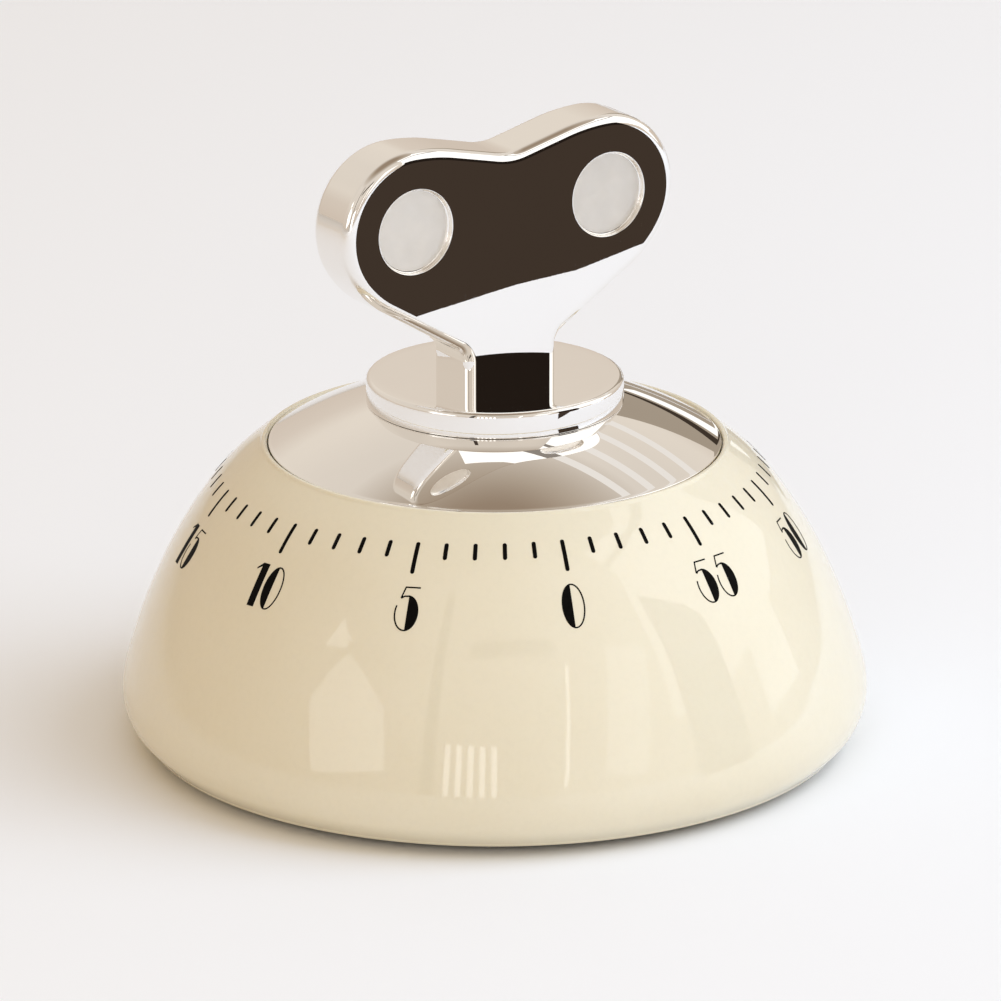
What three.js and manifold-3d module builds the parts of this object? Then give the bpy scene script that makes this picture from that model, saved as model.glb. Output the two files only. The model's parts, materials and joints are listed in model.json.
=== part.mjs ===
// Mechanical 60-minute kitchen timer: a domed dial body with a convex top plate, a butterfly wind-up key
// on a round flange, and a spring-driven going train with a bell inside.
// Units are millimetres, +Z is up, the table is z = 0 and the dial's zero mark faces -Y.

import * as THREE from 'three';
import { mergeVertices } from 'three/addons/utils/BufferGeometryUtils.js';
import Module from 'manifold-3d';

const wasm = await Module();
wasm.setup();

const RAD = Math.PI / 180;
const GAP = 0.3; // clearance between neighbouring pieces
const CUT = 1; // how far a cutting shape runs past the face it cuts

// ---- driving dimensions -------------------------------------------------------------------------

const DOME = {
  bottom: 1, // the skirt's lower edge above the table
  bottomRadius: 35.65,
  wall: 2,
  openingRadius: 23.05,
  lipRadius: 23.4,
  lipHeight: 31.5,
  ledgeHeight: 30.2,
  ledgeRadius: 21.6,
  ledgeThickness: 1.2,
  // rings the outer skin passes through, from the skirt up to the lip: [radius, height]
  rings: [[37.52, 3.2], [38, 6.3], [36.72, 11.2], [34.88, 16], [32.43, 21], [29.18, 26], [26.5, 29]],
  segments: 48,
};

const TOP_PLATE = {
  radius: 22.7,
  rimHeight: 31.5,
  sphereRadius: 46,
  seatRadius: 12.9, // edge of the flat middle, hidden under the key's flange
  thickness: 1,
  holeRadius: 2.6,
  segments: 48,
};

const FLANGE = { radius: 13.05, bottom: 35.95, top: 38.3, edge: 0.45, segments: 40 };

const KEY = {
  turn: 20 * RAD, // how far its face is turned from the zero mark at rest
  lobeX: 11.65,
  lobeZ: 56.05,
  lobeRadius: 8.2,
  edge: 1.1, // radius of the rounded edge
  thickness: 6.5,
  // radii of the flat face's outline, which lies inside the rounded edge
  crownRadius: 20, // from the top of a lobe towards the dip
  valleyRadius: 8.1,
  jawRadius: 10.2, // from the side of a lobe to the shoulder
  neckFillet: 3,
  dipSlope: 13.5 * RAD,
  jawAngle: -30 * RAD,
  shoulderSlope: 31.6 * RAD,
  neckHalfWidth: 5.5,
  bottom: FLANGE.top + GAP,
  recessRadius: 4.45,
  recessDepth: 0.8,
};

const SPINDLE = { radius: 2, top: 41, pivotRadius: 1.2 };

const COVER = { radius: 33.6, bottom: 1.2, top: 3.8, bossTop: 5.1, bossRadius: 2.4 };

const FOOT = { inner: 23.2, outer: 27.4, grooveDepth: 0.9, edge: 0.4 };

const SCREW = {
  orbit: 30.6,
  shankRadius: 1.2,
  headRadius: 2.3,
  headHeight: 1,
  length: 9,
  slotWidth: 0.6,
  slotDepth: 0.4,
  bossRadius: 2.6,
  bossTop: 17,
};

const SCREW_TIP = COVER.bottom + SCREW.length;

const PLATE = { radius: 27.6, lower: 5.4, upper: 19.8, thickness: 1 };

const PILLAR = { orbit: 24.4, radius: 1.5, tenonRadius: 0.9, angles: [-52, 122, 215] };

const ARBOR = { shaftRadius: 0.7, pivotRadius: 0.45, shoulder: 0.5 };

// The going train. A stage's wheel turns the pinion of the next arbor.
const TRAIN = {
  turn: 30 * RAD, // direction of the second arbor seen from the spindle
  pressureAngle: 20 * RAD,
  toothShare: 0.41, // share of the tooth pitch that a tooth fills at the pitch circle
  pinionShare: 0.36,
  addendum: 0.8,
  dedendum: 1.15,
  orbit: 21, // distance from the spindle of every arbor after the second
};
const MAIN = { teeth: 72, module: 0.48, bottom: 7.6, thickness: 1.2 };
const SECOND = { pinion: 12, teeth: 60, module: 0.4, bottom: 9.9, thickness: 1 };
const THIRD = { pinion: 10, teeth: 40, module: 0.4, bottom: 12.2, thickness: 1 };
const ESCAPE = { pinion: 8, teeth: 18, tip: 6, root: 4.5, lean: 5 * RAD, bottom: 14.6, thickness: 0.8 };

const BALANCE = {
  fromEscape: 8.5,
  radius: 6,
  rim: 1.4,
  bottom: 17.6,
  thickness: 1,
  pinAngle: 50 * RAD, // direction of each pallet pin, seen from the escape wheel
  pinRadius: 0.35,
  pinBottom: 14.2,
  armBottom: 16.2,
  armThickness: 0.8,
  armWidth: 1.4,
};

const MAINSPRING = { inner: 2.9, outer: 10.5, band: 0.35, turns: 5, bottom: 11.6, top: 18.4 };

const BELL = {
  radius: 18,
  rim: 23.4,
  top: 29.6,
  thickness: 0.8,
  shoulder: 3.5,
  holeRadius: 3,
  segments: 32,
};
const BELL_POST = { x: -9, y: -4, radius: 1.5, studRadius: 0.9, nutRadius: 2.4, nutHeight: 1.1 };

const CAM = { radius: 3.7, hub: 3, bottom: 21.8, thickness: 0.9, notch: 24 * RAD };
const HAMMER = {
  pivot: [8, 9],
  tail: [6.1, 0.2],
  head: [-3.2, 13.8],
  width: 1.6,
  bottom: 21.6,
  thickness: 1,
  hubRadius: 2,
  headRadius: 1.3,
  headTop: 26.2,
  postRadius: 0.9,
};
const HAMMER_SPRING = { radius: 1.6, wire: 0.25, turns: 3, pitch: 0.75 };

// ---- geometry helpers ---------------------------------------------------------------------------

/** A closed body of revolution about Z from a list of [radius, height]. */
function lathe(outline, segments) {
  const points = outline.map(([r, z]) => new THREE.Vector2(r, z));
  return new THREE.LatheGeometry(points, segments).rotateX(Math.PI / 2);
}

/** A disc or ring about Z. */
function ring(outer, inner, bottom, top, segments = 16) {
  const outline = [[inner, bottom], [outer, bottom], [outer, top], [inner, top]];
  if (inner > 0) outline.push([inner, bottom]);
  return lathe(outline, segments);
}

function extrude(shape, bottom, height, curveSegments = 12) {
  const options = { depth: height, bevelEnabled: false, curveSegments };
  return new THREE.ExtrudeGeometry(shape, options).translate(0, 0, bottom);
}

function circle(x, y, radius) {
  return new THREE.Path().absarc(x, y, radius, 0, 2 * Math.PI, true);
}

function polar(radius, angle) {
  return new THREE.Vector2(radius * Math.cos(angle), radius * Math.sin(angle));
}

/** Points of a circular arc as [radius, height] pairs, for a lathe outline. */
function arc(centreR, centreZ, radius, from, to, steps) {
  return Array.from({ length: steps + 1 }, (_, i) => {
    const angle = from + ((to - from) * i) / steps;
    return [centreR + radius * Math.cos(angle), centreZ + radius * Math.sin(angle)];
  });
}

function toManifold(geometry) {
  const bare = geometry.clone();
  bare.deleteAttribute('normal');
  bare.deleteAttribute('uv');
  const merged = mergeVertices(bare, 1e-4);
  return new wasm.Manifold(new wasm.Mesh({
    numProp: 3,
    vertProperties: new Float32Array(merged.attributes.position.array),
    triVerts: new Uint32Array(merged.index.array),
  }));
}

function fromManifold(solid) {
  const { vertProperties, triVerts } = solid.getMesh();
  const geometry = new THREE.BufferGeometry();
  geometry.setAttribute('position', new THREE.BufferAttribute(vertProperties, 3));
  geometry.setIndex(new THREE.BufferAttribute(triVerts, 1));
  return geometry;
}

/** Joins geometries into one body, then cuts the others out of it. */
function carve(joined, cuts = []) {
  let solid = toManifold(joined[0]);
  for (const geometry of joined.slice(1)) solid = solid.add(toManifold(geometry));
  for (const geometry of cuts) solid = solid.subtract(toManifold(geometry));
  return fromManifold(solid);
}

// ---- materials ----------------------------------------------------------------------------------

const finish = (color, roughness, metalness) => () =>
  new THREE.MeshStandardMaterial({ color, roughness, metalness });

const creamGloss = finish(0xe8e0cd, 0.18, 0);
const chrome = finish(0xdad4cb, 0.06, 1);
const darkPlastic = finish(0x3a3835, 0.55, 0);
const blackRubber = finish(0x1d1c1b, 0.85, 0);
const zincSteel = finish(0xb3b5b8, 0.35, 1);
const brass = finish(0xc9a55a, 0.3, 1);
const blueSteel = finish(0x4b5160, 0.3, 1);
const bellSteel = finish(0xc9c6bd, 0.15, 1);

function part(name, geometry, material) {
  const mesh = new THREE.Mesh(geometry, material());
  mesh.name = name;
  return mesh;
}

function group(name, members) {
  const holder = new THREE.Group();
  holder.name = name;
  holder.add(...members);
  return holder;
}

// ---- dome, top plate and base -------------------------------------------------------------------

/** The dome's skin from its lower edge to the lip, at a distance inside the outer face. */
function domeSkin(inset, steps) {
  const rings = [
    [DOME.bottomRadius, DOME.bottom],
    ...DOME.rings,
    [DOME.lipRadius, DOME.lipHeight],
  ];
  const curve = new THREE.SplineCurve(rings.map(([r, z]) => new THREE.Vector2(r, z)));
  return Array.from({ length: steps + 1 }, (_, i) => {
    const at = curve.getPoint(i / steps);
    const along = curve.getTangent(i / steps);
    return [at.x - inset * along.y, at.y + inset * along.x];
  });
}

function domeOutline() {
  const outer = domeSkin(0, 14);
  const ledgeUnder = DOME.ledgeHeight - DOME.ledgeThickness;
  const inner = domeSkin(DOME.wall, 6).filter(([, z]) => z > DOME.bottom && z < ledgeUnder - GAP);
  const [topInnerRadius] = inner.at(-1);
  return [
    [inner[0][0], DOME.bottom],
    ...outer,
    [DOME.openingRadius, DOME.lipHeight - GAP],
    [DOME.openingRadius, DOME.ledgeHeight],
    [DOME.ledgeRadius, DOME.ledgeHeight],
    [DOME.ledgeRadius, ledgeUnder],
    [topInnerRadius, ledgeUnder],
    ...inner.reverse(),
    [inner.at(-1)[0], DOME.bottom],
  ];
}

/** One place for each screw boss and each movement pillar, turned with the train. */
function stations(orbit) {
  return PILLAR.angles.map((degrees) => polar(orbit, TRAIN.turn + degrees * RAD));
}

function domeShell() {
  const bossBottom = COVER.top + GAP;
  const bosses = stations(SCREW.orbit).map(({ x, y }) =>
    ring(SCREW.bossRadius, 0, bossBottom, SCREW.bossTop).translate(x, y, 0));
  const holes = stations(SCREW.orbit).map(({ x, y }) =>
    ring(SCREW.shankRadius + GAP, 0, bossBottom - CUT, SCREW_TIP + CUT).translate(x, y, 0));
  return carve([lathe(domeOutline(), DOME.segments), ...bosses], holes);
}

/** Height of the top plate's upper face at a radius. */
function plateHeight(radius) {
  const { seatRadius, rimHeight, sphereRadius } = TOP_PLATE;
  const rise = (r) => Math.sqrt(sphereRadius ** 2 - r ** 2);
  return rimHeight + rise(Math.max(radius, seatRadius)) - rise(TOP_PLATE.radius);
}

function topPlate() {
  const { radius, seatRadius, holeRadius, thickness, segments } = TOP_PLATE;
  const steps = 4;
  const width = radius - seatRadius;
  const slope = Array.from({ length: steps + 1 }, (_, i) => seatRadius + (width * i) / steps);
  const radii = [holeRadius, ...slope];
  const under = radii.map((r) => [r, plateHeight(r) - thickness]);
  const upper = radii.map((r) => [r, plateHeight(r)]).reverse();
  return lathe([...under, ...upper, under[0]], segments);
}

function baseCover() {
  const body = ring(COVER.radius, 0, COVER.bottom, COVER.top, DOME.segments);
  const bosses = stations(PILLAR.orbit).map(({ x, y }) =>
    ring(COVER.bossRadius, 0, COVER.bottom + CUT, COVER.bossTop).translate(x, y, 0));
  const groove = ring(
    FOOT.outer + GAP, FOOT.inner - GAP, COVER.bottom - CUT, COVER.bottom + FOOT.grooveDepth, DOME.segments,
  );
  const seatTop = COVER.bottom + SCREW.headHeight + GAP;
  const screwSeats = stations(SCREW.orbit).flatMap(({ x, y }) => [
    ring(SCREW.headRadius + GAP, 0, COVER.bottom - CUT, seatTop).translate(x, y, 0),
    ring(SCREW.shankRadius + GAP, 0, COVER.bottom, COVER.top + CUT).translate(x, y, 0),
  ]);
  return carve([body, ...bosses], [groove, ...screwSeats]);
}

function footRing() {
  const { inner, outer, edge } = FOOT;
  const top = COVER.bottom + FOOT.grooveDepth - GAP;
  const outline = [
    [inner + edge, 0], [outer - edge, 0], [outer, edge], [outer, top],
    [inner, top], [inner, edge], [inner + edge, 0],
  ];
  return lathe(outline, DOME.segments);
}

function coverScrew({ x, y }) {
  const { headRadius, headHeight, shankRadius, length, slotWidth, slotDepth } = SCREW;
  const outline = [
    [0, 0], [headRadius, 0], [headRadius, headHeight],
    [shankRadius, headHeight], [shankRadius, length], [0, length],
  ];
  const slot = new THREE.BoxGeometry(2 * headRadius + CUT, slotWidth, 2 * slotDepth);
  return carve([lathe(outline, 14)], [slot]).translate(x, y, COVER.bottom);
}

function housing() {
  return group('housing', [
    part('dome_shell', domeShell(), creamGloss),
    part('top_plate', topPlate(), chrome),
    part('base_cover', baseCover(), darkPlastic),
    part('foot_ring', footRing(), blackRubber),
    ...stations(SCREW.orbit).map((at, i) => part(`cover_screw_${i + 1}`, coverScrew(at), zincSteel)),
  ]);
}

// ---- wind-up key --------------------------------------------------------------------------------

/** Flat face of the key, inside its rounded edge. Drawn with x across and y up. */
function keyOutline() {
  const { lobeX, lobeZ, edge, crownRadius, valleyRadius, jawRadius, neckFillet } = KEY;
  const { dipSlope, jawAngle, shoulderSlope } = KEY;
  const lobe = KEY.lobeRadius - edge;
  const neck = KEY.neckHalfWidth - edge;
  const foot = KEY.bottom - edge - CUT;
  const top = Math.PI / 2;

  // the crown and the jaw are wider arcs that carry on from the lobe
  const crownZ = lobeZ + lobe - crownRadius;
  const jaw = polar(lobe - jawRadius, jawAngle).add(new THREE.Vector2(lobeX, lobeZ));

  // a straight slope runs from the crown down to the arc of the valley
  const slopeEnd = polar(crownRadius, top + dipSlope).add(new THREE.Vector2(lobeX, crownZ));
  const valleyStart = valleyRadius * Math.sin(dipSlope);
  const valleyZ = slopeEnd.y - (slopeEnd.x - valleyStart) * Math.tan(dipSlope)
    + valleyRadius * Math.cos(dipSlope);

  // the shoulder leaves the jaw along its slope and meets the neck in a fillet
  const leave = polar(jawRadius, shoulderSlope - top).add(jaw);
  const filletX = neck + neckFillet;
  const onShoulder = leave.y - (leave.x - filletX) * Math.tan(shoulderSlope);
  const filletZ = onShoulder - neckFillet / Math.cos(shoulderSlope);

  const outline = new THREE.Shape();
  outline.moveTo(-neck, foot);
  outline.lineTo(neck, foot);
  outline.absarc(filletX, filletZ, neckFillet, Math.PI, top + shoulderSlope, true);
  outline.absarc(jaw.x, jaw.y, jawRadius, shoulderSlope - top, jawAngle, false);
  outline.absarc(lobeX, lobeZ, lobe, jawAngle, top, false);
  outline.absarc(lobeX, crownZ, crownRadius, top, top + dipSlope, false);
  outline.absarc(0, valleyZ, valleyRadius, dipSlope - top, -dipSlope - top, true);
  outline.absarc(-lobeX, crownZ, crownRadius, top - dipSlope, top, false);
  outline.absarc(-lobeX, lobeZ, lobe, top, Math.PI - jawAngle, false);
  outline.absarc(-jaw.x, jaw.y, jawRadius, Math.PI - jawAngle, Math.PI + top - shoulderSlope, false);
  outline.absarc(-filletX, filletZ, neckFillet, top - shoulderSlope, 0, true);
  return outline;
}

function windingKey() {
  const { thickness, edge, lobeX, lobeZ, recessRadius, recessDepth } = KEY;
  const depth = thickness - 2 * edge;
  const options = { depth, bevelSize: edge, bevelThickness: edge, bevelSegments: 2, curveSegments: 7 };
  const slab = new THREE.ExtrudeGeometry(keyOutline(), options).translate(0, 0, -depth / 2);
  slab.rotateX(Math.PI / 2);

  const belowKey = new THREE.BoxGeometry(40, 20, 20).translate(0, 0, KEY.bottom - 10);
  const socket = ring(SPINDLE.radius + GAP, 0, KEY.bottom - CUT, SPINDLE.top + GAP);
  const face = thickness / 2 - recessDepth;
  const recesses = [-lobeX, lobeX].flatMap((x) => [
    ring(recessRadius, 0, face, thickness, 24).rotateX(Math.PI / 2).translate(x, 0, lobeZ),
    ring(recessRadius, 0, -thickness, -face, 24).rotateX(Math.PI / 2).translate(x, 0, lobeZ),
  ]);
  return carve([slab], [belowKey, socket, ...recesses]).rotateZ(KEY.turn);
}

function keyFlange() {
  const { radius, bottom, top, edge, segments } = FLANGE;
  const bore = SPINDLE.radius + GAP;
  const quarter = Math.PI / 2;
  const outline = [
    [bore, bottom],
    ...arc(radius - edge, bottom + edge, edge, -quarter, 0, 3),
    ...arc(radius - edge, top - edge, edge, 0, quarter, 3),
    [bore, top],
    [bore, bottom],
  ];
  return lathe(outline, segments);
}

function keySpindle() {
  const { radius, top, pivotRadius } = SPINDLE;
  const shoulder = PLATE.lower + PLATE.thickness + GAP;
  const outline = [
    [0, PLATE.lower], [pivotRadius, PLATE.lower], [pivotRadius, shoulder],
    [radius, shoulder], [radius, top], [0, top],
  ];
  return lathe(outline, 20);
}

/** The cam that lets the hammer's tail drop when the time is up. */
function tripCam() {
  const { radius, hub, bottom, thickness, notch } = CAM;
  const shape = new THREE.Shape();
  shape.absarc(0, 0, radius, notch, 2 * Math.PI, false);
  shape.lineTo(hub, 0);
  shape.lineTo(hub * Math.cos(notch), hub * Math.sin(notch));
  shape.holes.push(circle(0, 0, SPINDLE.radius + GAP));
  return extrude(shape, bottom, thickness, 12);
}

// ---- going train --------------------------------------------------------------------------------

const FINE_FLANK = 20; // gears with fewer teeth have visibly curved flanks

/** Outline of an involute gear with a tooth centred on +X. */
function gearShape(teeth, module, share) {
  const { pressureAngle, addendum, dedendum } = TRAIN;
  const pitch = (teeth * module) / 2;
  const base = pitch * Math.cos(pressureAngle);
  const tip = pitch + addendum * module;
  const root = pitch - dedendum * module;
  const involute = (r) => {
    const roll = Math.acos(Math.min(1, base / r));
    return Math.tan(roll) - roll;
  };
  const halfTooth = (r) => (Math.PI * share) / teeth + involute(pitch) - involute(Math.max(r, base));
  const flank = teeth < FINE_FLANK ? [root, pitch, tip] : [root, tip];
  const points = [];
  for (let i = 0; i < teeth; i += 1) {
    const centre = (2 * Math.PI * i) / teeth;
    points.push(...flank.map((r) => polar(r, centre - halfTooth(r))));
    points.push(...flank.toReversed().map((r) => polar(r, centre + halfTooth(r))));
  }
  return new THREE.Shape(points);
}

/** Turn that puts a gear's teeth in mesh with those of another gear, seen along a direction. */
function meshTurn(driverTurn, driverTeeth, teeth, direction) {
  const driverPitch = (2 * Math.PI) / driverTeeth;
  const pitch = (2 * Math.PI) / teeth;
  return direction + Math.PI + pitch * ((direction - driverTurn) / driverPitch - 0.5);
}

/** Direction of an arbor seen from the spindle, from its distance to the arbor before it. */
function swing(orbitA, orbitB, distance) {
  return Math.acos((orbitA ** 2 + orbitB ** 2 - distance ** 2) / (2 * orbitA * orbitB));
}

const bearing = (from, to) => Math.atan2(to.y - from.y, to.x - from.x);

const secondOrbit = ((MAIN.teeth + SECOND.pinion) * MAIN.module) / 2;
const thirdReach = ((SECOND.teeth + THIRD.pinion) * SECOND.module) / 2;
const escapeReach = ((THIRD.teeth + ESCAPE.pinion) * THIRD.module) / 2;

const thirdAngle = TRAIN.turn + swing(secondOrbit, TRAIN.orbit, thirdReach);
const escapeAngle = thirdAngle + swing(TRAIN.orbit, TRAIN.orbit, escapeReach);
const balanceAngle = escapeAngle + swing(TRAIN.orbit, TRAIN.orbit, BALANCE.fromEscape);

const AT = {
  spindle: new THREE.Vector2(0, 0),
  second: polar(secondOrbit, TRAIN.turn),
  third: polar(TRAIN.orbit, thirdAngle),
  escape: polar(TRAIN.orbit, escapeAngle),
  balance: polar(TRAIN.orbit, balanceAngle),
};

// turns that put every pair in mesh at rest, and a tooth of the escape wheel on the line to the balance
const TURN = { main: 0 };
TURN.second = meshTurn(TURN.main, MAIN.teeth, SECOND.pinion, bearing(AT.spindle, AT.second));
TURN.third = meshTurn(TURN.second, SECOND.teeth, THIRD.pinion, bearing(AT.second, AT.third));
TURN.escapePinion = meshTurn(TURN.third, THIRD.teeth, ESCAPE.pinion, bearing(AT.third, AT.escape));
TURN.escapeWheel = bearing(AT.escape, AT.balance);

/** Lightened wheel: a toothed rim, a hub with a bore, and round windows between them. */
function wheel(shape, pitchRadius, windows, bore, { bottom, thickness }) {
  shape.holes.push(circle(0, 0, bore));
  const orbit = pitchRadius * 0.56;
  for (let i = 0; i < windows; i += 1) {
    const { x, y } = polar(orbit, (2 * Math.PI * i) / windows);
    shape.holes.push(circle(x, y, pitchRadius * 0.22));
  }
  return extrude(shape, bottom, thickness, 5);
}

function trainWheel(stage, at, turn, windows, bore) {
  const shape = gearShape(stage.teeth, stage.module, TRAIN.toothShare);
  const geometry = wheel(shape, (stage.teeth * stage.module) / 2, windows, bore, stage);
  return geometry.rotateZ(turn).translate(at.x, at.y, 0);
}

/** A shaft between the movement plates, thinned at both ends to run in them. */
function shaft() {
  const { shaftRadius, pivotRadius, shoulder } = ARBOR;
  const low = PLATE.lower + PLATE.thickness + shoulder;
  const high = PLATE.upper - shoulder;
  const tip = PLATE.upper + PLATE.thickness;
  const outline = [
    [0, PLATE.lower], [pivotRadius, PLATE.lower], [pivotRadius, low], [shaftRadius, low],
    [shaftRadius, high], [pivotRadius, high], [pivotRadius, tip], [0, tip],
  ];
  return lathe(outline, 10);
}

/** A shaft cut in one piece with its pinion, which runs on both sides past the wheel that drives it. */
function pinionArbor(teeth, driver, at, turn) {
  const overlap = 0.4;
  const shape = gearShape(teeth, driver.module, TRAIN.pinionShare);
  const pinion = extrude(shape, driver.bottom - overlap, driver.thickness + 2 * overlap).rotateZ(turn);
  return carve([shaft(), pinion]).translate(at.x, at.y, 0);
}

function escapeWheel() {
  const { teeth, tip, root, lean } = ESCAPE;
  const pitch = (2 * Math.PI) / teeth;
  const points = [];
  for (let i = 0; i < teeth; i += 1) {
    const centre = i * pitch;
    points.push(polar(root, centre - pitch * 0.3), polar(tip, centre - lean / 2));
    points.push(polar(tip, centre + lean / 2), polar(root, centre + pitch * 0.3));
  }
  const geometry = wheel(new THREE.Shape(points), root, 3, ARBOR.shaftRadius + GAP, ESCAPE);
  return geometry.rotateZ(TURN.escapeWheel).translate(AT.escape.x, AT.escape.y, 0);
}

/** The balance staff's two arms, each with a pin that hangs beside the escape wheel's teeth. */
function palletVerge() {
  const { pinAngle, pinRadius, pinBottom, armBottom, armThickness, armWidth, fromEscape } = BALANCE;
  const reach = ESCAPE.tip + GAP + pinRadius;
  const armTop = armBottom + armThickness;
  const pieces = [ring(ARBOR.shaftRadius + armWidth, 0, armBottom, armTop)];
  for (const side of [-1, 1]) {
    const pin = polar(reach, side * pinAngle).sub(new THREE.Vector2(fromEscape, 0));
    const arm = new THREE.BoxGeometry(pin.length(), armWidth, armThickness);
    arm.translate(pin.length() / 2, 0, armBottom + armThickness / 2).rotateZ(Math.atan2(pin.y, pin.x));
    pieces.push(arm, ring(armWidth / 2, 0, armBottom, armTop, 12).translate(pin.x, pin.y, 0));
    pieces.push(ring(pinRadius, 0, pinBottom, armTop, 12).translate(pin.x, pin.y, 0));
  }
  const verge = carve(pieces, [ring(ARBOR.shaftRadius + GAP, 0, armBottom - CUT, armTop + CUT, 12)]);
  return verge.rotateZ(TURN.escapeWheel).translate(AT.balance.x, AT.balance.y, 0);
}

/** A heavy rim on a single cross bar. */
function balanceWheel() {
  const { radius, rim, bottom, thickness, armWidth } = BALANCE;
  const top = bottom + thickness;
  const pieces = [
    ring(radius, radius - rim, bottom, top, 24),
    ring(ARBOR.shaftRadius + armWidth, 0, bottom, top),
    new THREE.BoxGeometry(2 * radius - rim, armWidth, thickness).translate(0, 0, bottom + thickness / 2),
  ];
  const bore = ring(ARBOR.shaftRadius + GAP, 0, bottom - CUT, top + CUT, 12);
  return carve(pieces, [bore]).rotateZ(TURN.escapeWheel).translate(AT.balance.x, AT.balance.y, 0);
}

/** A coiled flat band round the spindle whose outer end runs out to a movement pillar. */
function mainspring() {
  const { inner, outer, band, turns, bottom, top } = MAINSPRING;
  const endAngle = TRAIN.turn + PILLAR.angles[2] * RAD;
  const startAngle = endAngle - 2 * Math.PI * turns;
  const coilEnd = endAngle - 70 * RAD;
  const reach = PILLAR.orbit - PILLAR.radius - GAP;
  const steps = turns * 16;
  const side = (offset) => Array.from({ length: steps + 1 }, (_, i) => {
    const angle = startAngle + ((endAngle - startAngle) * i) / steps;
    const coil = inner + ((outer - inner) * (angle - startAngle)) / (coilEnd - startAngle);
    const out = Math.max(0, (angle - coilEnd) / (endAngle - coilEnd));
    return polar(coil + (reach - coil) * out ** 2 + offset, angle);
  });
  const points = [...side(band / 2), ...side(-band / 2).reverse()];
  return extrude(new THREE.Shape(points), bottom, top - bottom);
}

// ---- movement plates, pillars, bell and hammer --------------------------------------------------

function movementPlate(bottom, spindleHole, studs) {
  const shape = new THREE.Shape().absarc(0, 0, PLATE.radius, 0, 2 * Math.PI, false);
  shape.holes.push(circle(0, 0, spindleHole));
  for (const at of [AT.second, AT.third, AT.escape, AT.balance]) {
    shape.holes.push(circle(at.x, at.y, ARBOR.pivotRadius + GAP));
  }
  for (const [x, y, radius] of studs) shape.holes.push(circle(x, y, radius + GAP));
  return extrude(shape, bottom, PLATE.thickness, 8);
}

/** A pillar between the plates with a thinner end riveted through each of them. */
function pillar({ x, y }) {
  const low = PLATE.lower + PLATE.thickness + GAP;
  const high = PLATE.upper - GAP;
  const tip = PLATE.upper + PLATE.thickness;
  const { radius, tenonRadius } = PILLAR;
  const outline = [
    [0, PLATE.lower], [tenonRadius, PLATE.lower], [tenonRadius, low], [radius, low],
    [radius, high], [tenonRadius, high], [tenonRadius, tip], [0, tip],
  ];
  return lathe(outline, 10).translate(x, y, 0);
}

function bell() {
  const { radius, rim, top, thickness, shoulder, holeRadius, segments } = BELL;
  const quarter = Math.PI / 2;
  const outer = arc(radius - shoulder, top - shoulder, shoulder, 0, quarter, 3);
  const inner = arc(radius - shoulder, top - shoulder, shoulder - thickness, quarter, 0, 3);
  const outline = [
    [radius, rim], ...outer, [holeRadius, top], [holeRadius, top - thickness], ...inner,
    [radius - thickness, rim], [radius, rim],
  ];
  const studHole = ring(BELL_POST.studRadius + GAP, 0, top - 2 * thickness, top + CUT, 16);
  return carve([lathe(outline, segments)], [studHole.translate(BELL_POST.x, BELL_POST.y, 0)]);
}

function bellPost() {
  const { x, y, radius, studRadius, nutHeight } = BELL_POST;
  const low = PLATE.upper + PLATE.thickness + GAP;
  const high = BELL.top - BELL.thickness - GAP;
  const tip = BELL.top + nutHeight + GAP;
  const outline = [
    [0, PLATE.upper], [studRadius, PLATE.upper], [studRadius, low], [radius, low],
    [radius, high], [studRadius, high], [studRadius, tip], [0, tip],
  ];
  return lathe(outline, 10).translate(x, y, 0);
}

function bellNut() {
  const { x, y, studRadius, nutRadius, nutHeight } = BELL_POST;
  const bottom = BELL.top + GAP;
  const hexagon = ring(nutRadius, 0, bottom, bottom + nutHeight, 6);
  const bore = ring(studRadius + GAP, 0, bottom - CUT, bottom + nutHeight + CUT, 16);
  return carve([hexagon], [bore]).translate(x, y, 0);
}

/** A flat bar between two points. */
function bar([x1, y1], [x2, y2], width, bottom, thickness) {
  const length = Math.hypot(x2 - x1, y2 - y1);
  const geometry = new THREE.BoxGeometry(length, width, thickness);
  geometry.translate(length / 2, 0, bottom + thickness / 2);
  return geometry.rotateZ(Math.atan2(y2 - y1, x2 - x1)).translate(x1, y1, 0);
}

function hammerLever() {
  const { pivot, tail, head, width, bottom, thickness, hubRadius, postRadius } = HAMMER;
  const top = bottom + thickness;
  const rounded = [[tail, width / 2], [head, width / 2], [pivot, hubRadius]];
  const pieces = rounded.map(([[x, y], radius]) => ring(radius, 0, bottom, top).translate(x, y, 0));
  pieces.push(bar(pivot, tail, width, bottom, thickness), bar(pivot, head, width, bottom, thickness));
  const bore = ring(postRadius + GAP, 0, bottom - CUT, top + CUT).translate(pivot[0], pivot[1], 0);
  return carve(pieces, [bore]);
}

function hammerHead() {
  const bottom = HAMMER.bottom + HAMMER.thickness + GAP;
  return ring(HAMMER.headRadius, 0, bottom, HAMMER.headTop).translate(HAMMER.head[0], HAMMER.head[1], 0);
}

function hammerPost() {
  const [x, y] = HAMMER.pivot;
  const low = PLATE.upper + PLATE.thickness + GAP;
  const seat = HAMMER.bottom - GAP;
  const tip = HAMMER.bottom + HAMMER.thickness + HAMMER_SPRING.turns * HAMMER_SPRING.pitch + 2 * GAP;
  const { postRadius, hubRadius } = HAMMER;
  const outline = [
    [0, PLATE.upper], [postRadius, PLATE.upper], [postRadius, low], [hubRadius, low],
    [hubRadius, seat], [postRadius, seat], [postRadius, tip], [0, tip],
  ];
  return lathe(outline, 10).translate(x, y, 0);
}

/** A small torsion coil that sits on the lever's hub. */
class Coil extends THREE.Curve {
  getPoint(t) {
    const { radius, turns, pitch } = HAMMER_SPRING;
    const angle = 2 * Math.PI * turns * t;
    return new THREE.Vector3(radius * Math.cos(angle), radius * Math.sin(angle), turns * pitch * t);
  }
}

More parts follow.
